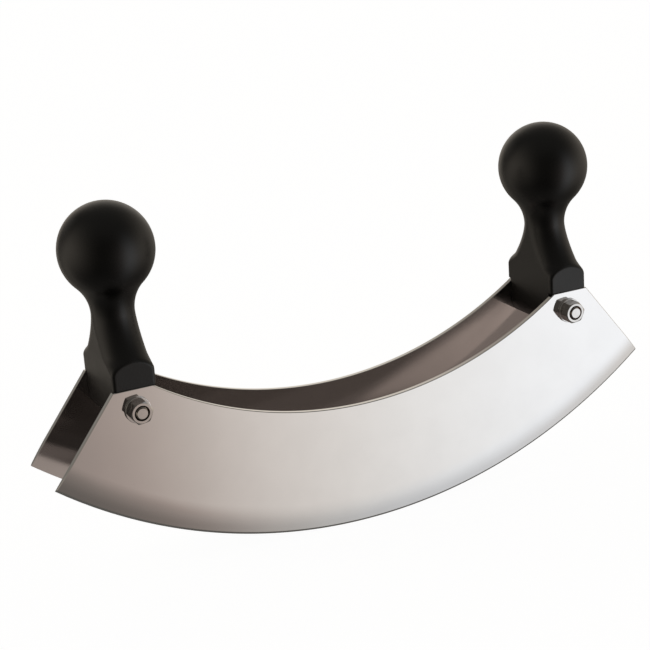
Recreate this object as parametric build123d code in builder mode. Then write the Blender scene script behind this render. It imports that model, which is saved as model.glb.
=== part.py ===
from build123d import *
from math import asin, atan2, degrees, sqrt, tan
import os

# Double-bladed mezzaluna: two curved blades held apart by two ball-topped handles.
# Millimetres, +Z up. +X runs along the blades and the front is -Y. The origin lies on the
# surface that the cutting edges stand on, midway between the handles and the blades.

# Blade outline, seen from the front
edge_radius = 209.0
edge_chord = 256.0
blade_height = 49.5
shoulder_z = 76.4
shoulder_width = 15.43

# Blade section, and how far apart the two blades stand
blade_thickness = 2.0
blade_gap = 28.7
bevel_width = 7.0
bevel_depth = 0.9
bevel_blend_radius = 32.0
hone_width = 0.7
hone_depth = 0.75
edge_break = 0.25

# Handles: a ball on a narrow waist, flared into a block that stands on the blades. Heights are
# taken from the blades' shoulders, and the block stands a margin in from the blades' ends
ball_radius = 18.0
neck_curve_radius = 15.4
waist_rise = 25.6
waist_radius = 8.13
waist_flat = 0.1
block_width = 16.8
block_end_margin = 0.33
block_edge_radius = 1.2
panel_height = 10.4
panel_side_height = 5.6

# Where the sections lie, as shares of the flare's height and of the arch's, and how the flare's
# depth grows
flare_shares = (0, 0.25, 0.5, 0.75, 1)
arch_shares = (0.5, 1)
growth_power = 1.55

# Fasteners: bolt from behind, nut in front, a washer under each
bolt_drop = 8.0
bolt_diameter = 5.0
bolt_hole_clearance = 0.3
thread_clearance = 0.05
bolt_proud = 0.4
bolt_end_chamfer = 0.5
across_flats = 8.0
head_height = 3.5
nut_height = 4.0
nut_mouth_chamfer = 0.45
crown_width = 0.8
crown_height = 0.45
washer_diameter = 10.0
washer_thickness = 1.0

# Turn of each hexagon about its bolt, in degrees
nut_turns = {"left": 7.0, "right": 6.0}
head_turns = {"left": 21.0, "right": 48.0}

# Worked out from the sizes above
half_chord = edge_chord / 2
tip_angle = asin(half_chord / edge_radius)
tip_z = edge_radius - sqrt(edge_radius**2 - half_chord**2)
shoulder_end_x = (edge_radius - shoulder_z) * tan(tip_angle)
spine_end_x = shoulder_end_x - shoulder_width
inner_y = blade_gap / 2
outer_y = inner_y + blade_thickness
block_depth = 2 * outer_y
handle_x = shoulder_end_x - block_end_margin - block_width / 2
bolt_z = shoulder_z - bolt_drop
hole_radius = (bolt_diameter + bolt_hole_clearance) / 2
waist_z = shoulder_z + waist_rise
panel_top_z = shoulder_z + panel_height
flare_height = waist_rise - panel_height
arch_height = panel_height - panel_side_height
neck_centre_radius = waist_radius + neck_curve_radius
ball_rise = sqrt((ball_radius + neck_curve_radius) ** 2 - neck_centre_radius**2)
ball_z = waist_z + ball_rise
neck_angle = degrees(atan2(ball_rise, neck_centre_radius))
nut_seat_y = outer_y + washer_thickness
corner_radius = across_flats / sqrt(3)
bolt_x = {"left": -handle_x, "right": handle_x}

os.makedirs("parts", exist_ok=True)


def save(part, name):
    """Names a finished piece and writes it."""
    part.label = name
    export_step(part, f"parts/{name}.step")


# Front blade: flat steel cut to outline, then ground on its outer face by a ring about the
# centre that the cutting edge is struck from
with BuildPart() as front_blade:
    with BuildSketch(Plane.XZ.offset(inner_y)):
        with BuildLine():
            ThreePointArc((-half_chord, tip_z), (0, 0), (half_chord, tip_z))
            for end in (-1, 1):
                Polyline(
                    (end * half_chord, tip_z),
                    (end * shoulder_end_x, shoulder_z),
                    (end * spine_end_x, shoulder_z),
                )
            ThreePointArc((-spine_end_x, shoulder_z), (0, blade_height), (spine_end_x, shoulder_z))
        make_face()
    extrude(amount=blade_thickness)
    outer_face = front_blade.faces().sort_by(Axis.Y)[0]
    *other_edges, cutting_edge = outer_face.edges().sort_by(SortBy.LENGTH)
    chamfer(other_edges, length=edge_break)
    with BuildSketch(Plane.YZ):
        with BuildLine():
            Polyline(
                (-inner_y, 0),
                (-outer_y + bevel_depth + hone_depth, 0),
                (-outer_y + bevel_depth, hone_width),
                (-outer_y, bevel_width),
                (-outer_y, shoulder_z),
                (-inner_y, shoulder_z),
                close=True,
            )
        make_face()
        bevel_corner = vertices().sort_by_distance((-outer_y, bevel_width))[0]
        fillet(bevel_corner, radius=bevel_blend_radius)
    revolve(axis=Axis((0, 0, edge_radius), (0, 1, 0)), mode=Mode.INTERSECT)
    with BuildSketch(Plane.XZ.offset(inner_y)):
        with Locations((-handle_x, bolt_z), (handle_x, bolt_z)):
            Circle(hole_radius)
    extrude(amount=blade_thickness, mode=Mode.SUBTRACT)
save(front_blade.part, "front_blade")

# Rear blade: the same blade, ground side to the rear
with BuildPart() as rear_blade:
    mirror(front_blade.part, about=Plane.XZ)
save(rear_blade.part, "rear_blade")


def across(side, y, z=0):
    """Plane across a handle's bolt, facing the front."""
    return Plane((bolt_x[side], y, z), x_dir=(1, 0, 0), z_dir=(0, -1, 0))


# Left handle: one moulding of flare, block, tongue, neck and ball
handle_base = Plane((-handle_x, 0, 0))
with BuildPart() as left_handle:
    # Flare with fully rounded front and rear, from the almost round waist down to where the
    # block's upright edges begin. Its roundness grows past the panels, which leaves their arches
    for share in flare_shares:
        width = 2 * waist_radius + (block_width - 2 * waist_radius) * share
        depth = 2 * waist_radius + (block_depth - 2 * waist_radius) * share**growth_power
        with BuildSketch(handle_base.offset(waist_z - flare_height * share)):
            SlotOverall(depth + waist_flat * (1 - share), width, rotation=90)
    for share in arch_shares:
        with BuildSketch(handle_base.offset(panel_top_z - arch_height * share)):
            SlotOverall(block_depth + block_width * share, block_width, rotation=90)
    loft()
    extrude(faces().sort_by(Axis.Z)[0], amount=panel_side_height)

    # Flat panels in line with the blades' outer faces, their edges rounded
    with BuildSketch(handle_base.offset(shoulder_z)):
        Rectangle(2 * block_width, block_depth)
    extrude(amount=waist_z - shoulder_z, mode=Mode.INTERSECT)
    for panel in faces().filter_by(Axis.Y):
        foot_edge, *rounded_edges = panel.edges().sort_by(Axis.Z)
        fillet(rounded_edges, radius=block_edge_radius)

    # Tongue between the blades, round about the bolt
    with BuildSketch(across("left", inner_y)):
        with Locations((0, bolt_z)):
            Circle(block_width / 2)
            Rectangle(block_width, shoulder_z - bolt_z, align=(Align.CENTER, Align.MIN))
    extrude(amount=blade_gap)

    # Neck and ball
    with BuildSketch(across("left", 0)):
        with BuildLine():
            CenterArc((0, ball_z), ball_radius, -neck_angle, 90 + neck_angle)
            CenterArc(
                (neck_centre_radius, waist_z), neck_curve_radius, 180 - neck_angle, neck_angle
            )
            Polyline((waist_radius, waist_z), (0, waist_z), (0, ball_z + ball_radius))
        make_face()
    revolve(axis=Axis((-handle_x, 0, 0), (0, 0, 1)))

    # Bolt hole
    with BuildSketch(across("left", inner_y, bolt_z)):
        Circle(hole_radius)
    extrude(amount=blade_gap, mode=Mode.SUBTRACT)
save(left_handle.part, "left_handle")

# Right handle: the same moulding at the other end
with BuildPart() as right_handle:
    mirror(left_handle.part, about=Plane.YZ)
save(right_handle.part, "right_handle")


def make_hexagon(plane, height, turn, crowned_ends):
    """Hexagon cut from a round blank whose rims are turned down, as many as are crowned."""
    with BuildPart() as hexagon:
        with BuildSketch(plane):
            Circle(corner_radius)
        extrude(amount=height)
        for end in hexagon.faces().filter_by(Axis.Y).sort_by(Axis.Y)[-crowned_ends:]:
            chamfer(end.edges(), length=crown_width, length2=crown_height, reference=end)
        with BuildSketch(plane):
            RegularPolygon(across_flats / 2, 6, major_radius=False, rotation=turn)
        extrude(amount=height, mode=Mode.INTERSECT)
    return hexagon.part


def make_washer(plane):
    """Plain washer."""
    with BuildPart() as washer:
        with BuildSketch(plane):
            Circle(washer_diameter / 2)
            Circle(hole_radius, mode=Mode.SUBTRACT)
        extrude(amount=washer_thickness)
    return washer.part


def make_bolt(side):
    """Hexagon-head bolt whose head bears on the rear washer."""
    head = make_hexagon(
        across(side, nut_seat_y + head_height, bolt_z), head_height, head_turns[side], 1
    )
    with BuildPart() as bolt:
        add(head)
        with BuildSketch(across(side, nut_seat_y, bolt_z)):
            Circle(bolt_diameter / 2)
        extrude(amount=2 * nut_seat_y + nut_height + bolt_proud)
        chamfer(bolt.faces().sort_by(Axis.Y)[0].edges(), length=bolt_end_chamfer)
    return bolt.part


def make_nut(side):
    """Hexagon nut on the front washer, countersunk at both mouths."""
    plane = across(side, -nut_seat_y, bolt_z)
    hexagon = make_hexagon(plane, nut_height, nut_turns[side], 2)
    with BuildPart() as nut:
        add(hexagon)
        with BuildSketch(plane):
            Circle(bolt_diameter / 2 + thread_clearance)
        extrude(amount=nut_height, mode=Mode.SUBTRACT)
        mouths = nut.edges().filter_by(GeomType.CIRCLE).sort_by(SortBy.RADIUS)[:2]
        chamfer(mouths, length=nut_mouth_chamfer)
    return nut.part


for side in ("left", "right"):
    save(make_bolt(side), f"{side}_bolt")
    save(make_nut(side), f"{side}_nut")
    save(make_washer(across(side, -outer_y, bolt_z)), f"{side}_front_washer")
    save(make_washer(across(side, nut_seat_y, bolt_z)), f"{side}_rear_washer")
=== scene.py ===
# %% [markdown]
# # A double-bladed mezzaluna
# Two curved steel blades stand side by side, held apart by two black handles with ball tops.
# A bolt at each end goes through both blades and the foot of the handle, with its nut in front.
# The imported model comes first, as a fixed frame in metres: every size below is either read from
# it or given here once, so each piece lands where the real one is clamped, with no fitting.

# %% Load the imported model
from math import atan, atan2, cos, degrees, hypot, pi, radians, sin, sqrt, tan

import bmesh
import bpy
from mathutils import Matrix, Vector


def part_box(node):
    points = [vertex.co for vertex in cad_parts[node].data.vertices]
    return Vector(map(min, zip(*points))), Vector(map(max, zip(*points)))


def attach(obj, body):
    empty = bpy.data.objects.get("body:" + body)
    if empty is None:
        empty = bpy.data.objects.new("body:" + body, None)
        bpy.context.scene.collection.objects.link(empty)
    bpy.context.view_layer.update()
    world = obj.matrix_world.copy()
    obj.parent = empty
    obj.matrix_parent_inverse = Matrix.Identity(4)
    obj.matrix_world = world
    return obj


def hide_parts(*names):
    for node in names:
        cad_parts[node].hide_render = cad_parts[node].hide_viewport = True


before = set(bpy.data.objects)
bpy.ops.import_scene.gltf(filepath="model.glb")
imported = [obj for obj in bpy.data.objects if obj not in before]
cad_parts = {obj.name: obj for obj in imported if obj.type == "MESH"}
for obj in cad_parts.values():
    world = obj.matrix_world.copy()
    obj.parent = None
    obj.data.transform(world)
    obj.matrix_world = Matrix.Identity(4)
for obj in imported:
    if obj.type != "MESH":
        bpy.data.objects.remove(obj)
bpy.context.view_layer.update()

print("nodes:", sorted(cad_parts))

# %% [markdown]
# ## The camera
# The camera comes before the pieces. The tool is seen from in front and to the left, a little
# from above, through a long lens that keeps its two handles nearly the same size. A camera looks
# along its own -Z, so it is turned until its +Z points back at the photographer, and then rolled
# about that line.

# %% Set up the camera
mm = 0.001
camera_azimuth = radians(-25.11)
camera_elevation = radians(18.23)
camera_roll = radians(-4.09)
camera_distance = 688.36 * mm
camera_lens = 97.47
camera_sensor = 36
camera_clip = 10 * mm, 20
camera_target = Vector((-8.48, 0, 78.87)) * mm


def direction(azimuth, elevation):
    """Unit vector that way: azimuth 0 is the front, -Y, and grows towards +X."""
    flat = cos(elevation)
    return Vector((sin(azimuth) * flat, -cos(azimuth) * flat, sin(elevation)))


def add_camera():
    """The camera, level at first and then rolled about its own line of sight."""
    data = bpy.data.cameras.new("camera")
    data.lens = camera_lens
    data.sensor_width = camera_sensor
    data.clip_start, data.clip_end = camera_clip
    camera = bpy.data.objects.new("camera", data)
    bpy.context.scene.collection.objects.link(camera)
    back = direction(camera_azimuth, camera_elevation)
    place = Matrix.Translation(camera_target + camera_distance * back)
    level = back.to_track_quat("Z", "Y").to_matrix().to_4x4()
    camera.matrix_world = place @ level @ Matrix.Rotation(camera_roll, 4, "Z")
    bpy.context.scene.camera = camera
    return camera


camera = add_camera()
print("camera at, in mm:", [round(v / mm, 1) for v in camera.matrix_world.translation])

# %% [markdown]
# ## Sizes
# The frame gives the outer sizes: how thick a blade is, how far apart the two stand, where the
# bolts are and how large a ball is. What a box can't tell, such as the radius that the cutting
# edge is struck with, is named here in millimetres.

# %% Read the sizes from the frame
blade_low, blade_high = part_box("front_blade")
handle_low, handle_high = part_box("left_handle")
washer_low, washer_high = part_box("left_front_washer")
nut_low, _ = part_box("left_nut")
bolt_low, bolt_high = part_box("left_bolt")

outer_y = -blade_low.y
inner_y = -blade_high.y
half_chord = blade_high.x
shoulder_z = blade_high.z
ball_radius = (handle_high.x - handle_low.x) / 2
handle_x = -(handle_high.x + handle_low.x) / 2
ball_z = handle_high.z - ball_radius
bolt_z = (washer_low.z + washer_high.z) / 2
washer_radius = (washer_high.x - washer_low.x) / 2
nut_seat_y = -washer_low.y
nut_face_y = -nut_low.y
bolt_end_y = -bolt_low.y
head_face_y = bolt_high.y
print("blades", round((outer_y - inner_y) / mm, 2), "thick,", round(2 * inner_y / mm, 2), "apart")
print("bolts at x", round(handle_x / mm, 2), "z", round(bolt_z / mm, 2))

# %% Name the sizes that a box can't tell
edge_radius = 209 * mm
blade_height = 49.5 * mm
shoulder_width = 15.43 * mm
bevel_width = 7 * mm
bevel_depth, bevel_run = 0.9 * mm, 6.3 * mm
bevel_slope = atan(bevel_depth / bevel_run)
bevel_blend_radius = 60 * mm
hone_width = 1 * mm
edge_land = 0.35 * mm
edge_break = 0.25 * mm
inner_edge_break = 0.15 * mm
hole_radius = 2.65 * mm
tip_angle = atan2(half_chord, sqrt(edge_radius**2 - half_chord**2))
edge_centre = Vector((0, 0, edge_radius))
print("each blade spans", round(2 * degrees(tip_angle), 1), "degrees of its edge's circle")

# %% [markdown]
# ## Helpers for meshes
# Most pieces here are turned: a line of points is drawn and spun about an axis, what lies beyond
# a plane is trimmed off, and sharp edges are broken. These steps are written once.
#
# Every piece also ends the same way: its faces are made to point outwards, its creases are
# marked, and it becomes an object that rides on the body and stands in for its CAD node. Flat
# faces beside small rounded edges shade wrongly if every normal is a plain average, so a Weighted
# Normal modifier lets the large faces have their own way, as they do on real flat steel.

# %% Helpers that draw, spin, trim and bevel
tolerance = 1e-6
tiny = 1e-7
crease = radians(28)
square_corner = radians(60)


def draw_line(shape, places, closed=False):
    """Points joined by edges, one after another."""
    line = [shape.verts.new(place) for place in places]
    for first, second in zip(line, line[1:] + line[:1] if closed else line[1:]):
        shape.edges.new((first, second))
    return line


def spin_all(shape, axis, angle, steps, centre=(0, 0, 0), **settings):
    """Turns all that is drawn so far about an axis."""
    bmesh.ops.spin(
        shape, geom=shape.verts[:] + shape.edges[:], cent=centre, axis=axis, angle=angle,
        steps=steps, **settings,
    )


def merge_close(shape, distance):
    """Makes one point of those that lie that close together."""
    bmesh.ops.remove_doubles(shape, verts=shape.verts[:], dist=distance)


def trim(shape, place, normal):
    """Takes away what lies beyond a plane and fills the cut."""
    cut = bmesh.ops.bisect_plane(
        shape, geom=shape.verts[:] + shape.edges[:] + shape.faces[:], dist=tiny,
        plane_co=place, plane_no=normal, clear_outer=True,
    )
    rims = [item for item in cut["geom_cut"] if isinstance(item, bmesh.types.BMEdge)]
    bmesh.ops.holes_fill(shape, edges=[edge for edge in rims if edge.is_boundary], sides=0)


def bevel(shape, edges, offset, segments, clamp=False):
    """Breaks edges with one segment, or rounds them with more."""
    bmesh.ops.bevel(
        shape, geom=edges, offset=offset, affect="EDGES", segments=segments, profile=0.5,
        material=-1, clamp_overlap=clamp,
    )


def add_mesh(shape, other):
    """Adds what another bmesh holds, and frees that one."""
    carried = bpy.data.meshes.new("carried")
    other.to_mesh(carried)
    other.free()
    shape.from_mesh(carried)
    bpy.data.meshes.remove(carried)


# %% A helper that turns a mesh into a finished piece
def finish_piece(shape, name, node, material):
    """Closes a bmesh into an object in the CAD node's place."""
    bmesh.ops.recalc_face_normals(shape, faces=shape.faces[:])
    for face in shape.faces:
        face.smooth = True
    for edge in shape.edges:
        edge.smooth = edge.calc_face_angle(0) < crease
    open_edges = sum(1 for edge in shape.edges if not edge.is_manifold)
    mesh = bpy.data.meshes.new(name)
    shape.to_mesh(mesh)
    shape.free()
    mesh.materials.append(material)
    piece = bpy.data.objects.new(name, mesh)
    bpy.context.scene.collection.objects.link(piece)
    weighted = piece.modifiers.new("large faces lead", "WEIGHTED_NORMAL")
    weighted.keep_sharp = True
    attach(piece, "root")
    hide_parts(node)
    print(name, "faces", len(mesh.polygons), "open edges", open_edges)


# %% Helpers for shader trees
def feed(tree, socket, value):
    """Links a socket to an output, or gives it a value."""
    if isinstance(value, bpy.types.NodeSocket):
        tree.links.new(value, socket)
    else:
        socket.default_value = value


def add_node(tree, kind, *values, **named):
    """A node with its first inputs fed in order, and others by name with _ for a space."""
    node = tree.nodes.new("ShaderNode" + kind)
    for socket, value in zip(node.inputs, values):
        feed(tree, socket, value)
    for title, value in named.items():
        feed(tree, node.inputs[title.replace("_", " ")], value)
    return node


def calculate(tree, operation, *values):
    """Result of a Math node fed with sockets or numbers."""
    node = add_node(tree, "Math", *values)
    node.operation = operation
    return node.outputs[0]


def spread(tree, value, start, stop, low=0.0, high=1.0):
    """Carries a value from start..stop over to low..high, eased at both ends."""
    node = add_node(tree, "MapRange", value, start, stop, low, high)
    node.interpolation_type = "SMOOTHSTEP"
    return node.outputs["Result"]


def new_group(name, inputs, outputs):
    """An empty node group with its sockets, and its two end nodes."""
    group = bpy.data.node_groups.new(name, "ShaderNodeTree")
    for title, kind in inputs:
        group.interface.new_socket(title, in_out="INPUT", socket_type="NodeSocket" + kind)
    for title, kind in outputs:
        group.interface.new_socket(title, in_out="OUTPUT", socket_type="NodeSocket" + kind)
    entry = group.nodes.new("NodeGroupInput")
    leave = group.nodes.new("NodeGroupOutput")
    return group, entry.outputs, leave.inputs


def use_group(tree, group, **values):
    """Outputs of a group placed in a material and fed by name, with _ for a space."""
    node = tree.nodes.new("ShaderNodeGroup")
    node.node_tree = group
    for title, value in values.items():
        feed(tree, node.inputs[title.replace("_", " ")], value)
    return node.outputs


# %% [markdown]
# ## The studio
# Polished steel and black plastic show little of their own colour: they show what stands round
# them. So the world is a tent whose tone depends on direction alone. Its walls are dark on the
# photographer's side, and from there brighten towards a large white card at the front right and
# a smaller one at the left. They fade upwards and downwards from their brightest level, which is
# lower beside the large card and right across from it than at the sides. The ceiling adds a
# little light of its own, and so does the ground far below. Two soft round cards at the rear
# light the spines and the upper rims of the balls. Camera rays get white.

# %% Tones of the tent
warmth = 1.12, 1, 0.85


def warm(tone):
    """A grey tone of the room's walls, which are a little warm."""
    return tuple(tone * share for share in warmth)


wall_tones = (
    (-180, warm(0.52)), (-170, warm(0.52)), (-162, warm(0.10)),
    (-153, warm(0.06)), (-138, warm(0.42)), (-108, warm(0.78)),
    (-90, warm(0.60)), (-75, warm(0.38)), (-58, warm(0.14)),
    (-42, warm(0.02)), (-15, warm(0.02)), (0, warm(0.11)),
    (6, (0.15, 0.13, 0.12)), (13, (0.24, 0.20, 0.18)), (17, (0.38, 0.31, 0.28)),
    (19, (0.47, 0.39, 0.35)), (22, (0.74, 0.68, 0.64)), (25, (0.86, 0.82, 0.79)),
    (28, (0.97, 0.96, 0.95)), (32, (1.08, 1.10, 1.13)), (40, (1.20, 1.24, 1.30)),
    (50, (0.86, 0.82, 0.78)), (64, warm(0.58)), (80, warm(0.54)),
    (100, warm(0.45)), (125, warm(0.40)), (150, warm(0.34)),
    (165, warm(0.45)), (172, warm(0.52)), (180, warm(0.52)),
)
brightest_wall = 1.6
wall_fall = 5.5

# Brightest level of the walls, by the angle aside from the large card
front_card_azimuth = radians(30)
rise_angles = radians(20), radians(70)
brightest_levels = radians(-12), radians(5)
dip_angles = radians(148), radians(172)
rear_dip = radians(30)

# Light from above and below, from one share of the way up or down to another
ceiling_colour = (1, 0.95, 0.87, 1)
ceiling_heights = 0.3, 1.0
ceiling_tones = 0.04, 0.16
ground_heights = -0.95, -0.6
ground_tones = 0.07, 0

# Each card at the rear: azimuth, elevation, angle of its even part, angle of its rim and tone
rear_cards = (
    (radians(152), radians(13), radians(7), radians(30), 0.32),
    (radians(-155), radians(20), radians(5), radians(16), 0.20),
)


# %% Light the tent
def wall_ramp(tree, azimuth):
    """The walls' tone for an azimuth in radians, as a share of the brightest."""
    ramp = add_node(tree, "ValToRGB", calculate(tree, "MULTIPLY_ADD", azimuth, 0.5 / pi, 0.5))
    ramp.color_ramp.interpolation = "B_SPLINE"
    stops = ramp.color_ramp.elements
    stops.remove(stops[0])
    stops[0].position = 0
    for number, (degrees_round, tone) in enumerate(wall_tones):
        stop = stops.new(degrees_round / 360 + 0.5) if number else stops[0]
        stop.color = (*(value / brightest_wall for value in tone), 1)
    return ramp.outputs["Color"]


def card_light(tree, place, azimuth, elevation, inner, outer, tone):
    """Strength of a round card: even out to the inner angle, and gone at the outer one."""
    towards = add_node(tree, "VectorMath", place, direction(azimuth, elevation))
    towards.operation = "DOT_PRODUCT"
    return spread(tree, towards.outputs["Value"], cos(outer), cos(inner), 0, tone)


def light_world():
    """The tent as the world's colour, white to the camera."""
    world = bpy.data.worlds.new("tent")
    bpy.context.scene.world = world
    world.use_nodes = True
    tree = world.node_tree
    tree.nodes.clear()
    place = add_node(tree, "TexCoord").outputs["Generated"]
    x, y, z = add_node(tree, "SeparateXYZ", place).outputs
    azimuth = calculate(tree, "ARCTAN2", x, calculate(tree, "MULTIPLY", y, -1))
    elevation = calculate(tree, "ARCSINE", z)
    from_card = calculate(tree, "SUBTRACT", azimuth, front_card_azimuth)
    aside = calculate(tree, "PINGPONG", calculate(tree, "ABSOLUTE", from_card), pi)
    rise = spread(tree, aside, *rise_angles, *brightest_levels)
    dip = spread(tree, aside, *dip_angles, 0, rear_dip)
    brightest = calculate(tree, "SUBTRACT", rise, dip)
    from_brightest = calculate(tree, "SUBTRACT", elevation, brightest)
    facing = calculate(tree, "MAXIMUM", calculate(tree, "COSINE", from_brightest), 0)
    fall = calculate(tree, "POWER", facing, wall_fall)
    strength = calculate(tree, "MULTIPLY", fall, brightest_wall)
    walls = add_node(tree, "Background", wall_ramp(tree, azimuth), strength)
    above = spread(tree, z, *ceiling_heights, *ceiling_tones)
    below = spread(tree, z, *ground_heights, *ground_tones)
    strength = calculate(tree, "ADD", above, below)
    for card in rear_cards:
        strength = calculate(tree, "ADD", strength, card_light(tree, place, *card))
    ceiling = add_node(tree, "Background", ceiling_colour, strength)
    tent = add_node(tree, "AddShader", walls.outputs[0], ceiling.outputs[0])
    white = add_node(tree, "Background", (1, 1, 1, 1))
    to_camera = add_node(tree, "LightPath").outputs["Is Camera Ray"]
    choose = add_node(tree, "MixShader", to_camera, tent.outputs[0], white.outputs[0])
    add_node(tree, "OutputWorld", choose.outputs[0])


light_world()
bpy.context.scene.view_settings.view_transform = "Standard"

# Between the blades light goes to and fro many times before it leaves
bpy.context.scene.cycles.glossy_bounces = 10

# %% [markdown]
# The floor is pale and takes the tool's soft shadow. Seen in the outside of the steel it would be
# a hard-edged plane close by, where the real tool shows an even surround, so rays that have been
# reflected once pass through it to the tent's lower half. Rays that went to and fro between the
# blades do meet it, and there the floor glows with painted light and shade: a warm, dim painted
# shade under the tool, a little painted light behind it, and in front of the tool, to the right
# of a slanting line, a painted pool of light that grows brighter to the right. So the inner faces
# are parted into bands, one for each number of reflections.

# %% Floor
floor_radius = 5
floor_segments = 96
floor_colour = (0.80, 0.81, 0.83, 1)
floor_glow = 1.27
shadow_share = 0.25
one_reflection = 1.5

# The floor's painted light and shade, as it shows between the blades: painted shade under the
# tool, painted light behind it and a painted pool of light in front. Each pair of places is where
# a change of tone starts and where it stops
painted_gap_light_colour = (1.22, 1.0, 0.91, 1)
painted_shade_places, painted_shade_tones = (-65 * mm, 5 * mm), (0.03, 0.115)
painted_rear_light_places, painted_rear_light_tone = (48 * mm, 62 * mm), 0.08
front_places = -24 * mm, -10 * mm
slant, slant_places = 0.65, (12 * mm, 22 * mm)
painted_pool_growth, painted_pool_start = 1.6, 0.04


def painted_gap_light_and_shade(tree):
    """Strength of the floor's painted light and shade, as it shows between the blades."""
    x, y, _ = add_node(tree, "SeparateXYZ", add_node(tree, "TexCoord").outputs["Object"]).outputs
    dim = spread(tree, x, *painted_shade_places, *painted_shade_tones)
    behind = spread(tree, y, *painted_rear_light_places, 0, painted_rear_light_tone)
    in_front = spread(tree, y, *front_places, 1, 0)
    slanted = calculate(tree, "MULTIPLY_ADD", x, slant, y)
    lit = calculate(tree, "MULTIPLY", in_front, spread(tree, slanted, *slant_places))
    light = calculate(tree, "MULTIPLY_ADD", x, painted_pool_growth, painted_pool_start)
    glow = calculate(tree, "MULTIPLY_ADD", light, lit, dim)
    return calculate(tree, "ADD", glow, behind)


def add_floor():
    """A pale floor that keeps a light shadow for the camera."""
    shape = bmesh.new()
    bmesh.ops.create_circle(shape, cap_ends=True, segments=floor_segments, radius=floor_radius)
    mesh = bpy.data.meshes.new("floor")
    shape.to_mesh(mesh)
    shape.free()
    floor = bpy.data.objects.new("floor", mesh)
    bpy.context.scene.collection.objects.link(floor)
    material = bpy.data.materials.new("floor")
    material.use_nodes = True
    tree = material.node_tree
    tree.nodes.clear()
    rays = add_node(tree, "LightPath").outputs
    share = calculate(tree, "MULTIPLY", rays["Is Camera Ray"], 1 - shadow_share)
    pale = add_node(tree, "BsdfDiffuse", floor_colour)
    glow = add_node(tree, "Emission", Strength=floor_glow)
    seen = add_node(tree, "MixShader", share, pale.outputs[0], glow.outputs[0])
    again = calculate(tree, "GREATER_THAN", rays["Glossy Depth"], one_reflection)
    clear = add_node(tree, "BsdfTransparent")
    # The floor glows here with painted light and shade, seen only after two or more reflections
    between = add_node(tree, "Emission", painted_gap_light_colour, painted_gap_light_and_shade(tree))
    reflected = add_node(tree, "MixShader", again, clear.outputs[0], between.outputs[0])
    glossy = rays["Is Glossy Ray"]
    choose = add_node(tree, "MixShader", glossy, seen.outputs[0], reflected.outputs[0])
    add_node(tree, "OutputMaterial", choose.outputs[0])
    mesh.materials.append(material)


add_floor()

# %% [markdown]
# ## Effects that several finishes share
# Hairlines, smudges and grain are each a node group, built once. A group takes a place and a
# few numbers and gives back a height or a mask, and each material decides what to do with it.
# The blades' lines follow the cutting edge's circle, so one group first turns a place into the
# distance along that circle and the radius.

# %% Place round an axis
def make_round_place():
    """Group: distance along a circle and from its centre, for an axis along Y."""
    group, entry, leave = new_group(
        "round_place",
        [("Position", "Vector"), ("Centre X", "Float"), ("Centre Z", "Float")],
        [("Along", "Float"), ("Radius", "Float")],
    )
    x, _, z = add_node(group, "SeparateXYZ", entry["Position"]).outputs
    across = calculate(group, "SUBTRACT", x, entry["Centre X"])
    below = calculate(group, "SUBTRACT", entry["Centre Z"], z)
    squares = [calculate(group, "MULTIPLY", length, length) for length in (across, below)]
    radius = calculate(group, "SQRT", calculate(group, "ADD", *squares))
    turn = calculate(group, "ARCTAN2", across, below)
    group.links.new(calculate(group, "MULTIPLY", turn, radius), leave["Along"])
    group.links.new(radius, leave["Radius"])
    return group


# %% Hairlines
def make_hairlines():
    """Group: fine lines along the first direction, as a height from 0 to 1."""
    titles = ("First", "Second", "Line Length", "Line Width")
    group, entry, leave = new_group(
        "hairlines", [(title, "Float") for title in titles], [("Height", "Float")]
    )
    first = calculate(group, "DIVIDE", entry["First"], entry["Line Length"])
    second = calculate(group, "DIVIDE", entry["Second"], entry["Line Width"])
    place = add_node(group, "CombineXYZ", first, second).outputs[0]
    noise = add_node(group, "TexNoise", Vector=place, Scale=1, Detail=3, Roughness=0.6)
    noise.noise_dimensions = "2D"
    group.links.new(noise.outputs["Fac"], leave["Height"])
    return group


# %% Clouds and grain
cloud_range = 0.3, 0.7


def make_cloud():
    """Group: a soft mask of patches of one size, from 0 to 1."""
    group, entry, leave = new_group(
        "cloud",
        [("Position", "Vector"), ("Patch Size", "Float"), ("Detail", "Float")],
        [("Mask", "Float")],
    )
    scale = calculate(group, "DIVIDE", 1.0, entry["Patch Size"])
    noise = add_node(
        group, "TexNoise", Vector=entry["Position"], Scale=scale, Detail=entry["Detail"],
        Roughness=0.55,
    )
    group.links.new(spread(group, noise.outputs["Fac"], *cloud_range), leave["Mask"])
    return group


round_place = make_round_place()
hairlines = make_hairlines()
cloud = make_cloud()
print("groups:", [group.name for group in bpy.data.node_groups])


# %% Helpers for the materials
def start_material(name):
    """A material with its tree, its shader and the place on the object."""
    material = bpy.data.materials.new(name)
    material.use_nodes = True
    tree = material.node_tree
    place = add_node(tree, "TexCoord").outputs["Object"]
    return material, tree, tree.nodes["Principled BSDF"], place


def draw_hairlines(tree, first, second, length, width):
    """Height of hairlines along the first direction."""
    return use_group(
        tree, hairlines, First=first, Second=second, Line_Length=length, Line_Width=width
    )["Height"]


def draw_cloud(tree, place, patch_size, detail):
    """Mask of patches of that size."""
    return use_group(tree, cloud, Position=place, Patch_Size=patch_size, Detail=detail)["Mask"]


def add_bump(tree, shader, height, depth):
    """Feeds a height to the shader's normal."""
    bump = add_node(tree, "Bump", Strength=1.0, Distance=depth, Height=height)
    tree.links.new(bump.outputs["Normal"], shader.inputs["Normal"])


def blend_colours(tree, mask, first, second):
    """The first colour where the mask is 0 and the second where it is 1."""
    mix = add_node(tree, "Mix", mask)
    mix.data_type = "RGBA"
    for number, colour in ((6, first), (7, second)):
        known = isinstance(colour, bpy.types.NodeSocket)
        feed(tree, mix.inputs[number], colour if known else (*colour, 1))
    return mix.outputs[2]


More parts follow.
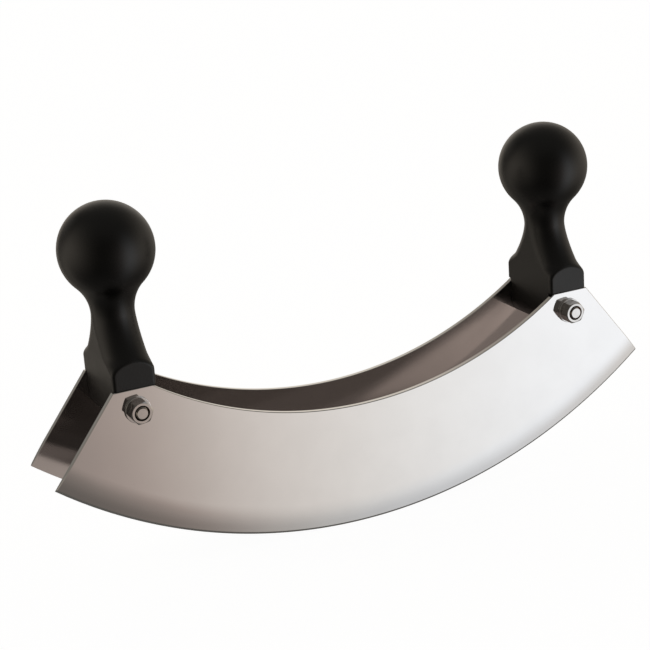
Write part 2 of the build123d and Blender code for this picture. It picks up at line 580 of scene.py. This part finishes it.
# %% [markdown]
# ## The blades' steel
# The real blades are polished almost to a mirror: the nuts show in them. Under a lens there are
# still hairlines along the blade from polishing, and on the ground bevel short lines that run
# across it, straight at the edge, where the wheel went. Both are made as a very low bump, and
# the bevel is a little rougher than the face.

# %% Blade steel
blade_tones = (0.81, 0.80, 0.79), (0.79, 0.78, 0.77)
polish_size = 30 * mm, 0.16 * mm
polish_share = 0.4
grind_size = 9 * mm, 0.14 * mm
grind_blend = 1.5 * mm
hairline_depth = 0.0006 * mm
smudge_size = 16 * mm
blade_roughness, smudge_roughness, grind_roughness = 0.045, 0.02, 0.07


def make_blade_steel():
    """Mirror-polished face and a finely ground bevel."""
    material, tree, shader, place = start_material("blade_steel")
    polar = use_group(tree, round_place, Position=place, Centre_X=0.0, Centre_Z=edge_radius)
    along, radius = polar["Along"], polar["Radius"]
    bevel_start = edge_radius - bevel_width
    ground = spread(tree, radius, bevel_start - grind_blend, bevel_start + grind_blend)
    polish = draw_hairlines(tree, along, radius, *polish_size)
    grind = draw_hairlines(tree, radius, along, *grind_size)
    faint = calculate(tree, "MULTIPLY", polish, calculate(tree, "SUBTRACT", 1.0, ground))
    faint = calculate(tree, "MULTIPLY", faint, polish_share)
    height = calculate(tree, "MULTIPLY_ADD", grind, ground, faint)
    add_bump(tree, shader, height, hairline_depth)
    smudge = draw_cloud(tree, place, smudge_size, detail=3)
    rough = calculate(tree, "MULTIPLY_ADD", smudge, smudge_roughness, blade_roughness)
    rough = calculate(tree, "MULTIPLY_ADD", ground, grind_roughness, rough)
    tree.links.new(rough, shader.inputs["Roughness"])
    tree.links.new(blend_colours(tree, smudge, *blade_tones), shader.inputs["Base Color"])
    shader.inputs["Metallic"].default_value = 1.0
    return material


blade_steel = make_blade_steel()
print("blade steel nodes:", len(blade_steel.node_tree.nodes))

# %% [markdown]
# ## The blades
# A blade is flat strip steel, cut to outline and ground on its outer face. Seen end on, its
# section is a long thin rectangle whose lower corner is ground away. That section, a ring of a
# few points, is spun about the centre of the cutting edge, which gives the edge, the hone and
# the softly blended bevel at once, all concentric as a grinding jig leaves them. The spine is
# struck from another centre, so the top row is then moved to it, and a plane cuts the two flat
# shoulders that the handles stand on.

# %% Section of a blade
blade_steps = 132
blend_steps = 8
flat_rows = 190 * mm, 197.2 * mm
bolt_reach = hypot(handle_x, edge_radius - bolt_z)
bolt_angle = atan2(handle_x, edge_radius - bolt_z)
patch_half = 5.5 * mm


def bevel_blend():
    """Points of the soft turn from the flat to the bevel, as radius and depth."""
    start = edge_radius - bevel_width - bevel_blend_radius * tan(bevel_slope / 2)
    points = []
    for number in range(blend_steps + 1):
        turn = bevel_slope * number / blend_steps
        depth = bevel_blend_radius * (1 - cos(turn))
        points.append((start + bevel_blend_radius * sin(turn), depth))
    return points


def blade_section():
    """The section round about, as radius from the edge's centre and depth from the outer face."""
    thickness = outer_y - inner_y
    rows = (edge_radius - blade_height, bolt_reach - patch_half, bolt_reach + patch_half)
    flat = [(radius, 0) for radius in (*rows, *flat_rows)]
    hone = [
        (edge_radius - hone_width, (bevel_width - hone_width) * tan(bevel_slope)),
        (edge_radius, thickness - edge_land),
        (edge_radius, thickness),
    ]
    inside = [(radius, thickness) for radius in (flat_rows[0], *reversed(rows))]
    return flat + bevel_blend() + hone + inside


# %% Spin the section and cut the shoulders
def spine_reach(angle):
    """Distance from the edge's centre to the spine, in a direction that far from straight down."""
    spine_end_x = (edge_radius - shoulder_z) * tan(tip_angle) - shoulder_width
    rise = shoulder_z - blade_height
    spine_radius = (spine_end_x**2 + rise**2) / (2 * rise)
    offset = edge_radius - blade_height - spine_radius
    return offset * cos(angle) + sqrt(spine_radius**2 - (offset * sin(angle)) ** 2)


def spin_blade(side):
    """The blank: side is -1 for the blade in front and 1 for the one behind."""
    shape = bmesh.new()
    section = blade_section()
    places = [(0, side * (outer_y - depth), edge_radius - radius) for radius, depth in section]
    ring = draw_line(shape, places, closed=True)
    to_end = Matrix.Rotation(-tip_angle, 3, "Y")
    bmesh.ops.rotate(shape, verts=ring, cent=edge_centre, matrix=to_end)
    spin_all(shape, (0, 1, 0), 2 * tip_angle, blade_steps, edge_centre)
    ends = [edge for edge in shape.edges if edge.is_boundary]
    bmesh.ops.holes_fill(shape, edges=ends, sides=0)
    for vert in shape.verts:
        down, out = edge_radius - vert.co.z, vert.co.x
        if hypot(down, out) < edge_radius - blade_height + tolerance:
            angle = atan2(out, down)
            reach = spine_reach(angle)
            vert.co.x = reach * sin(angle)
            vert.co.z = edge_radius - reach * cos(angle)
    trim(shape, (0, 0, shoulder_z), (0, 0, 1))
    return shape


# %% [markdown]
# The bolt holes are cut out of the flat by insetting a patch of faces on each side, drawing the
# inner ring to a circle and taking the faces within it away. The two circles are then bridged to
# each other, which is the wall of the hole. A bevel breaks the edges last: more on the outer face,
# where a hand meets it, and less inside.

# %% Bolt holes
patch_margin = 1 * mm
hole_inset = 1 * mm


def near_bolt(point, side_x):
    """Whether a point on a blade lies in the patch round a bolt."""
    angle = atan2(point.x, edge_radius - point.z) - side_x * bolt_angle
    reach = hypot(point.x, edge_radius - point.z)
    along = abs(angle) * bolt_reach
    return along < patch_half + patch_margin and abs(reach - bolt_reach) < patch_half + tolerance


def lies_at(item, depth_y):
    """Whether a face or an edge lies at that depth."""
    return all(abs(vert.co.y - depth_y) < tolerance for vert in item.verts)


def draw_to_circle(verts, side_x):
    """Moves a ring of points round a bolt to the hole's circle, in the order that they have."""
    def turn(vert):
        return atan2(vert.co.z - bolt_z, vert.co.x - side_x * handle_x)

    ring = sorted(verts, key=turn)
    step = 2 * pi / len(ring)
    phase = sum(turn(vert) - number * step for number, vert in enumerate(ring)) / len(ring)
    for number, vert in enumerate(ring):
        angle = phase + number * step
        vert.co.x = side_x * handle_x + hole_radius * cos(angle)
        vert.co.z = bolt_z + hole_radius * sin(angle)


def cut_hole(shape, side_x):
    """A bolt hole through both faces of a blade."""
    circles = []
    near = [vert for vert in shape.verts if near_bolt(vert.co, side_x)]
    for depth_y in sorted({round(vert.co.y, 7) for vert in near}):
        patch = []
        for face in shape.faces:
            if lies_at(face, depth_y) and all(near_bolt(vert.co, side_x) for vert in face.verts):
                patch.append(face)
        bmesh.ops.inset_region(shape, faces=patch, thickness=hole_inset)
        draw_to_circle({vert for face in patch for vert in face.verts}, side_x)
        bmesh.ops.delete(shape, geom=patch, context="FACES")
        open_edges = [edge for edge in shape.edges if edge.is_boundary]
        circles.append([edge for edge in open_edges if lies_at(edge, depth_y)])
    bmesh.ops.bridge_loops(shape, edges=circles[0] + circles[1])


# %% Broken edges
face_reach = 1.2 * mm
longest_slant = 0.95 * mm


def break_edges(shape, side):
    """Bevels the sharp edges of a blade, all but those of the cutting edge."""
    for face_y, offset in ((side * outer_y, edge_break), (side * inner_y, inner_edge_break)):
        shape.normal_update()
        edges = []
        for edge in shape.edges:
            middle = (edge.verts[0].co + edge.verts[1].co) / 2
            reach = hypot(middle.x, edge_radius - middle.z)
            depths = [vert.co.y for vert in edge.verts]
            level = all(abs(depth - face_y) < face_reach for depth in depths)
            flat = max(depths) - min(depths) < longest_slant
            square = edge.calc_face_angle(0) > square_corner
            if level and flat and square and reach < edge_radius - hone_width:
                edges.append(edge)
        bevel(shape, edges, offset, segments=1, clamp=True)


def make_blade(name, side):
    """One blade from blank to finished piece."""
    shape = spin_blade(side)
    bmesh.ops.recalc_face_normals(shape, faces=shape.faces[:])
    for side_x in (-1, 1):
        cut_hole(shape, side_x)
    bmesh.ops.recalc_face_normals(shape, faces=shape.faces[:])
    break_edges(shape, side)
    finish_piece(shape, name + "_polished", name, blade_steel)


make_blade("front_blade", -1)
make_blade("rear_blade", 1)

# %% [markdown]
# ## The handles' plastic
# The handles are black plastic with the satin skin of a sparked mould: dull enough that the tent
# shows only as soft light along the sides. A very fine grain breaks up its highlights, and the
# skin is a little smoother in some patches than in others.

# %% Handle plastic
handle_tones = (0.0033, 0.0031, 0.0030), (0.0043, 0.0041, 0.0040)
grain_size, grain_depth = 0.5 * mm, 0.008 * mm
skin_patch_size = 14 * mm
skin_roughness, patch_roughness = 0.31, 0.05


def make_handle_plastic():
    """Satin black, with the fine grain of the mould."""
    material, tree, shader, place = start_material("handle_plastic")
    add_bump(tree, shader, draw_cloud(tree, place, grain_size, detail=2), grain_depth)
    patches = draw_cloud(tree, place, skin_patch_size, detail=3)
    rough = calculate(tree, "MULTIPLY_ADD", patches, patch_roughness, skin_roughness)
    tree.links.new(rough, shader.inputs["Roughness"])
    tree.links.new(blend_colours(tree, patches, *handle_tones), shader.inputs["Base Color"])
    return material


handle_plastic = make_handle_plastic()
print("handle plastic nodes:", len(handle_plastic.node_tree.nodes))

# %% [markdown]
# ## The handles
# A handle is one moulding: a ball on a waist, flared downwards into a block with a flat panel
# front and rear. Above the waist it is round, so it starts as a lathe profile that is spun
# about the handle's axis. Below it, each row of points is drawn out or in to the flare's
# section: a slot with fully rounded ends, which grows deeper towards the foot until the two
# panels cut it off. Rounding the meeting of the two gives the panel's soft edge, and the arch at
# its top appears by itself where the flare passes through it.

# %% Sizes of a handle
neck_curve_radius = 15.4 * mm
waist_radius = 8.13 * mm
waist_z = 102 * mm
block_half_width = 8.4 * mm
block_foot_round = 0.2 * mm
panel_edge_radius = 1.2 * mm
panel_top_z = 86.8 * mm
panel_side_z = 82 * mm
growth_power = 1.55
arch_softness = 1 * mm
neck_centre_radius = waist_radius + neck_curve_radius
neck_angle = atan2(ball_z - waist_z, neck_centre_radius)
quarter_columns = 64
columns = 4 * quarter_columns

# %% Profile of the turned part and heights of the rows
ball_rows, neck_rows = 44, 20
flare_row_counts = 22, 36, 5
arch_margins = 1.6 * mm, 1.4 * mm


def turned_profile():
    """Ball and neck, as radius and height, from the top down."""
    points = []
    for number in range(ball_rows + 1):
        angle = pi / 2 - (pi / 2 + neck_angle) * number / ball_rows
        points.append((ball_radius * cos(angle), ball_z + ball_radius * sin(angle)))
    for number in range(1, neck_rows + 1):
        angle = neck_angle * (1 - number / neck_rows)
        across = neck_centre_radius - neck_curve_radius * cos(angle)
        points.append((across, waist_z + neck_curve_radius * sin(angle)))
    return points


def flare_rows():
    """Heights of the rows below the waist, closest together where the arch is."""
    arch = panel_top_z + arch_margins[0], panel_side_z - arch_margins[1]
    levels = (waist_z, *arch, shoulder_z)
    rows = []
    for high, low, count in zip(levels, levels[1:], flare_row_counts):
        rows += [high + (low - high) * number / count for number in range(1, count + 1)]
    return rows


# %% Section of the block at a height
reach_limits = 3 * mm, 40 * mm
halvings = 26


def softer_larger(first, second, softness):
    """The larger of two lengths, eased where they are nearly equal."""
    nearness = max(softness - abs(first - second), 0)
    return max(first, second) + nearness**2 / (4 * softness)


def half_sizes(z):
    """Half width and half depth of the moulding at a height."""
    share = (waist_z - z) / (waist_z - panel_top_z)
    width = waist_radius + (block_half_width - waist_radius) * min(share, 1)
    flare = waist_radius + (outer_y - waist_radius) * share**growth_power
    steepness = block_half_width / (panel_top_z - panel_side_z)
    arch = outer_y + (panel_top_z - z) * steepness
    return width, softer_larger(flare, arch, arch_softness)


def outside(x, y, z):
    """How far a point lies outside the moulding with its two panels, about in metres."""
    width, depth = half_sizes(z)
    moulding = hypot(x, max(abs(y) - depth + width, 0)) - width
    panel = abs(y) - outer_y
    first, second = moulding + panel_edge_radius, panel + panel_edge_radius
    if first > 0 and second > 0:
        return hypot(first, second) - panel_edge_radius
    return max(moulding, panel)


def reach_at(angle, z):
    """Distance from the handle's axis to its surface, where angle 0 faces the front."""
    near, far = reach_limits
    for _ in range(halvings):
        middle = (near + far) / 2
        if outside(middle * sin(angle), middle * cos(angle), z) < 0:
            near = middle
        else:
            far = middle
    return near


# %% Angles of the columns
fine_steps = 600


def column_angles():
    """Angles of a quarter's columns that are evenly spaced round the foot's section."""
    points = []
    for number in range(fine_steps + 1):
        angle = pi / 2 * number / fine_steps
        reach = reach_at(angle, (shoulder_z + panel_side_z) / 2)
        points.append((angle, reach * sin(angle), reach * cos(angle)))
    lengths = [0]
    for first, second in zip(points, points[1:]):
        lengths.append(lengths[-1] + hypot(second[1] - first[1], second[2] - first[2]))
    angles = []
    number = 0
    for column in range(quarter_columns + 1):
        wanted = lengths[-1] * column / quarter_columns
        while number < fine_steps - 1 and lengths[number + 1] < wanted:
            number += 1
        part = (wanted - lengths[number]) / (lengths[number + 1] - lengths[number])
        angles.append(points[number][0] + (points[number + 1][0] - points[number][0]) * part)
    return angles


quarter_angles = column_angles()
print("first and last column:", [round(degrees(quarter_angles[i]), 2) for i in (0, 1, -2, -1)])


def column_place(column):
    """Angle of a column all the way round, and its number within its quarter."""
    quarter, number = divmod(column % columns, quarter_columns)
    inner = quarter_columns - number if quarter % 2 else number
    turned = quarter_angles[inner]
    angle = (quarter + 1) * pi / 2 - turned if quarter % 2 else quarter * pi / 2 + turned
    return angle, inner


# %% Turn the blank and draw it to the block
def turn_handle(x):
    """The moulding without its tongue, about the axis at x."""
    shape = bmesh.new()
    profile = turned_profile() + [(waist_radius, z) for z in flare_rows()]
    draw_line(shape, [(0, -radius, z) for radius, z in profile])
    spin_all(shape, (0, 0, 1), 2 * pi, columns, use_merge=True)
    merge_close(shape, tiny)
    reaches = {}
    for vert in shape.verts:
        radius = hypot(vert.co.x, vert.co.y)
        if radius < tiny:
            continue
        column = round(atan2(vert.co.x, -vert.co.y) / (2 * pi) * columns)
        angle, inner = column_place(column)
        if vert.co.z < waist_z - tolerance:
            key = (round(vert.co.z, 7), inner)
            if key not in reaches:
                reaches[key] = reach_at(quarter_angles[inner], vert.co.z)
            radius = reaches[key]
        vert.co.x = radius * sin(angle)
        vert.co.y = -radius * cos(angle)
    foot = [edge for edge in shape.edges if edge.is_boundary]
    bmesh.ops.holes_fill(shape, edges=foot, sides=0)
    on_blades = [edge for edge in foot if min(abs(vert.co.y) for vert in edge.verts) > inner_y]
    bevel(shape, on_blades, block_foot_round, segments=2)
    bmesh.ops.translate(shape, verts=shape.verts[:], vec=(x, 0, 0))
    return shape


# %% [markdown]
# The tongue goes down between the blades and is what holds them apart, round about the bolt at
# its lower end. It starts as the lower half of a circle, whose two ends are drawn up into the
# block, and is pushed through the gap. Its edges are rounded a little, which leaves a fine dark
# line where it meets each blade.

# %% Tongue
tongue_half_width = block_half_width - 0.02 * mm
tongue_steps = 64
tongue_overlap = 2 * mm
tongue_close = 0.01 * mm
tongue_round = 0.3 * mm


def add_tongue(shape, x):
    """Adds the tongue below a handle to its mesh."""
    tongue = bmesh.new()
    place = Matrix.Translation((x, -inner_y, bolt_z)) @ Matrix.Rotation(pi / 2, 4, "X")
    bmesh.ops.create_circle(tongue, segments=tongue_steps, radius=tongue_half_width, matrix=place)
    for vert in tongue.verts:
        if vert.co.z > bolt_z + tolerance:
            vert.co.z = shoulder_z + tongue_overlap
            vert.co.x = x + tongue_half_width * (1 if vert.co.x > x else -1)
    merge_close(tongue, tongue_close)
    outline = bmesh.ops.contextual_create(tongue, geom=tongue.edges[:])["faces"]
    pushed = bmesh.ops.extrude_face_region(tongue, geom=outline, use_keep_orig=True)
    moved = [item for item in pushed["geom"] if isinstance(item, bmesh.types.BMVert)]
    bmesh.ops.translate(tongue, verts=moved, vec=(0, 2 * inner_y, 0))
    bmesh.ops.recalc_face_normals(tongue, faces=tongue.faces[:])
    rims = [edge for edge in tongue.edges if edge.calc_face_angle(0) > square_corner
            and abs(edge.verts[0].co.y - edge.verts[1].co.y) < tolerance]
    bevel(tongue, rims, tongue_round, segments=2)
    add_mesh(shape, tongue)


def make_handle(name, x):
    """One handle from blank to finished piece."""
    shape = turn_handle(x)
    add_tongue(shape, x)
    finish_piece(shape, name + "_moulded", name, handle_plastic)


make_handle("left_handle", -handle_x)
make_handle("right_handle", handle_x)

# %% [markdown]
# ## The fasteners' steel
# Nuts and bolts are bright and turned: fine rings run round the bolt's axis. The two bolts stand
# at equal distances left and right, so one material serves both by taking the distance from the
# middle without its sign. At the front, a ring of painted shade darkens the nut's mouth and the
# end of the thread in it, where the gap between bolt and nut lies in shadow. The washers are
# stamped from rolled strip and are duller.

# %% Fastener steel and washer steel
bright_tones = (0.70, 0.68, 0.66), (0.62, 0.60, 0.58)
dull_tones = (0.74, 0.73, 0.72), (0.66, 0.65, 0.64)
bright_roughness, dull_roughness, stain_roughness = 0.07, 0.10, 0.08
turned_width, stamped_width = 0.12 * mm, 0.2 * mm
ring_length, ring_depth = 4 * mm, 0.0008 * mm
stain_size = 2.5 * mm
# Painted shade: a dark ring at the front, in the nut's mouth and on the bolt's end, where the gap
# between them lies in shadow
mouth_shade_tone = (0.30, 0.27, 0.24)
mouth_shade_inner, mouth_shade_outer = (1.9 * mm, 2.1 * mm), (2.85 * mm, 3.0 * mm)


def make_fastener_steel(name, tones, roughness, ring_width, threaded):
    """Turned steel with rings about the bolt's axis."""
    material, tree, shader, place = start_material(name)
    x, y, z = add_node(tree, "SeparateXYZ", place).outputs
    folded = add_node(tree, "CombineXYZ", calculate(tree, "ABSOLUTE", x), y, z).outputs[0]
    polar = use_group(tree, round_place, Position=folded, Centre_X=handle_x, Centre_Z=bolt_z)
    radius = polar["Radius"]
    rings = draw_hairlines(tree, polar["Along"], radius, ring_length, ring_width)
    add_bump(tree, shader, rings, ring_depth)
    stain = draw_cloud(tree, place, stain_size, detail=2)
    rough = calculate(tree, "MULTIPLY_ADD", stain, stain_roughness, roughness)
    tree.links.new(rough, shader.inputs["Roughness"])
    tone = blend_colours(tree, stain, *tones)
    # Threaded parts get that ring of painted shade at the front
    if threaded:
        ends = spread(tree, radius, *mouth_shade_inner), spread(tree, radius, *mouth_shade_outer, 1, 0)
        front = calculate(tree, "LESS_THAN", y, 0)
        painted_mouth_shade = calculate(tree, "MULTIPLY", calculate(tree, "MULTIPLY", *ends), front)
        tone = blend_colours(tree, painted_mouth_shade, tone, mouth_shade_tone)
    tree.links.new(tone, shader.inputs["Base Color"])
    shader.inputs["Metallic"].default_value = 1.0
    return material


fastener_steel = make_fastener_steel(
    "fastener_steel", bright_tones, bright_roughness, turned_width, True
)
washer_steel = make_fastener_steel(
    "washer_steel", dull_tones, dull_roughness, stamped_width, False
)

# %% [markdown]
# ## Nuts and bolt heads
# A hexagon nut is cut from bar: its ends are turned to a cone first, and where the six flats meet
# that cone they leave the arcs at the corners. Here the order is the same. A profile with a full
# round rim is spun, then each rim point is moved in to the flat of the hexagon, and its height
# follows the cone. How far each hexagon is turned is read from the frame.

# %% Hexagons
across_flats = 8 * mm
corner_reach = across_flats / sqrt(3)
crown_width = 0.8 * mm
crown_height = 0.45 * mm
crown_start = corner_reach - crown_width
mouth = 0.45 * mm
bore_radius = 2.55 * mm
round_steps = 96


def hexagon_turn(node, side_x):
    """Angle of a corner of a CAD node's hexagon about its bolt."""
    best, turn = 0, 0
    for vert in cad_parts[node].data.vertices:
        across, up = vert.co.x - side_x * handle_x, vert.co.z - bolt_z
        outwards = vert.co.y * (1 if "bolt" in node else -1)
        if outwards > 0 and hypot(across, up) > best + tiny:
            best, turn = hypot(across, up), atan2(up, across)
    return turn % (pi / 3)


def spin_profile(points):
    """Spins a profile of radius and y about a bolt's axis. One off the axis is closed first."""
    shape = bmesh.new()
    places = [(radius, y, 0) for radius, y in points]
    draw_line(shape, places, closed=points[0][0] > tiny)
    spin_all(shape, (0, 1, 0), 2 * pi, round_steps, use_merge=True)
    merge_close(shape, tiny)
    return shape


def cut_flats(shape, turn, crowned):
    """Moves the rim in to six flats. crowned: each coned end's y and the way its cone goes."""
    for vert in shape.verts:
        radius = hypot(vert.co.x, vert.co.z)
        if radius < corner_reach - tolerance:
            continue
        angle = atan2(vert.co.z, vert.co.x)
        from_flat = (angle - turn) % (pi / 3) - pi / 6
        reach = across_flats / 2 / cos(from_flat)
        vert.co.x, vert.co.z = reach * cos(angle), reach * sin(angle)
        for end_y, way in crowned:
            if abs(vert.co.y - end_y) < crown_height + tolerance:
                vert.co.y = end_y + way * (reach - crown_start) * crown_height / crown_width


def place_on_bolt(shape, side_x):
    """Moves a piece made about the origin to its bolt."""
    bmesh.ops.translate(shape, verts=shape.verts[:], vec=(side_x * handle_x, 0, bolt_z))


# %% Nuts
def make_nut(side, side_x):
    """A crowned hexagon nut with its mouths countersunk."""
    seat, face = -nut_seat_y, -nut_face_y
    profile = [
        (bore_radius, seat - mouth),
        (bore_radius + mouth, seat),
        (crown_start, seat),
        (corner_reach, seat - crown_height),
        (corner_reach, face + crown_height),
        (crown_start, face),
        (bore_radius + mouth, face),
        (bore_radius, face + mouth),
    ]
    shape = spin_profile(profile)
    node = side + "_nut"
    cut_flats(shape, hexagon_turn(node, side_x), ((seat, -1), (face, 1)))
    place_on_bolt(shape, side_x)
    finish_piece(shape, node + "_turned", node, fastener_steel)


# %% [markdown]
# ## Bolts
# Only the bolt's end, in the mouth of the nut, and its head at the rear show. The thread is a
# single V that is spun round the bolt while it moves on by one pitch a turn. A plane trims each
# end of it, and the crests are taken down towards the end, as the die's lead leaves them.

# %% Bolts
bolt_radius = 2.5 * mm
pitch = 0.8 * mm
thread_depth = 0.43 * mm
thread_turns = 9
thread_steps = 48
end_chamfer = 0.5 * mm

# The thread's section over one pitch: crest, flank, root, flank and crest
thread_shares = ((0, 0), (0, 0.12), (1, 0.47), (1, 0.65), (0, 1))


def make_thread():
    """The threaded end of a bolt about the origin's Y axis, and the y where it ends."""
    start_y = -bolt_end_y - pitch
    stop_y = start_y + thread_turns * pitch
    shape = bmesh.new()
    draw_line(shape, [
        (bolt_radius - depth * thread_depth, start_y + share * pitch, 0)
        for depth, share in thread_shares
    ])
    spin_all(
        shape, (0, 1, 0), thread_turns * 2 * pi, thread_turns * thread_steps,
        dvec=(0, pitch / thread_steps, 0),
    )
    merge_close(shape, tolerance)
    trim(shape, (0, -bolt_end_y, 0), (0, -1, 0))
    trim(shape, (0, stop_y - pitch, 0), (0, 1, 0))
    for vert in shape.verts:
        radius = hypot(vert.co.x, vert.co.z)
        allowed = bolt_radius - end_chamfer + (vert.co.y + bolt_end_y)
        if radius > allowed:
            vert.co.x *= allowed / radius
            vert.co.z *= allowed / radius
    return shape, stop_y - pitch


def make_bolt(side, side_x):
    """Hexagon head at the rear, plain shank and threaded end."""
    thread, thread_stop = make_thread()
    profile = [
        (0, head_face_y),
        (crown_start, head_face_y),
        (corner_reach, head_face_y - crown_height),
        (corner_reach, nut_seat_y),
        (bolt_radius, nut_seat_y),
        (bolt_radius, thread_stop),
        (0, thread_stop),
    ]
    shape = spin_profile(profile)
    node = side + "_bolt"
    cut_flats(shape, hexagon_turn(node, side_x), ((head_face_y, -1),))
    add_mesh(shape, thread)
    place_on_bolt(shape, side_x)
    finish_piece(shape, node + "_threaded", node, fastener_steel)


# %% Washers
washer_round = 0.18 * mm


def make_washer(side, side_x, place, seat_y):
    """A stamped washer. Its outer rims are rounded a little."""
    face_y = nut_seat_y if seat_y > 0 else -nut_seat_y
    profile = [
        (hole_radius, seat_y),
        (washer_radius, seat_y),
        (washer_radius, face_y),
        (hole_radius, face_y),
    ]
    shape = spin_profile(profile)
    rims = []
    for edge in shape.edges:
        radii = [hypot(vert.co.x, vert.co.z) for vert in edge.verts]
        level = abs(edge.verts[0].co.y - edge.verts[1].co.y) < tiny
        if level and min(radii) > washer_radius - tolerance:
            rims.append(edge)
    bevel(shape, rims, washer_round, segments=3)
    place_on_bolt(shape, side_x)
    node = f"{side}_{place}_washer"
    finish_piece(shape, node + "_stamped", node, washer_steel)


for side, side_x in (("left", -1), ("right", 1)):
    make_nut(side, side_x)
    make_bolt(side, side_x)
    make_washer(side, side_x, "front", -outer_y)
    make_washer(side, side_x, "rear", outer_y)
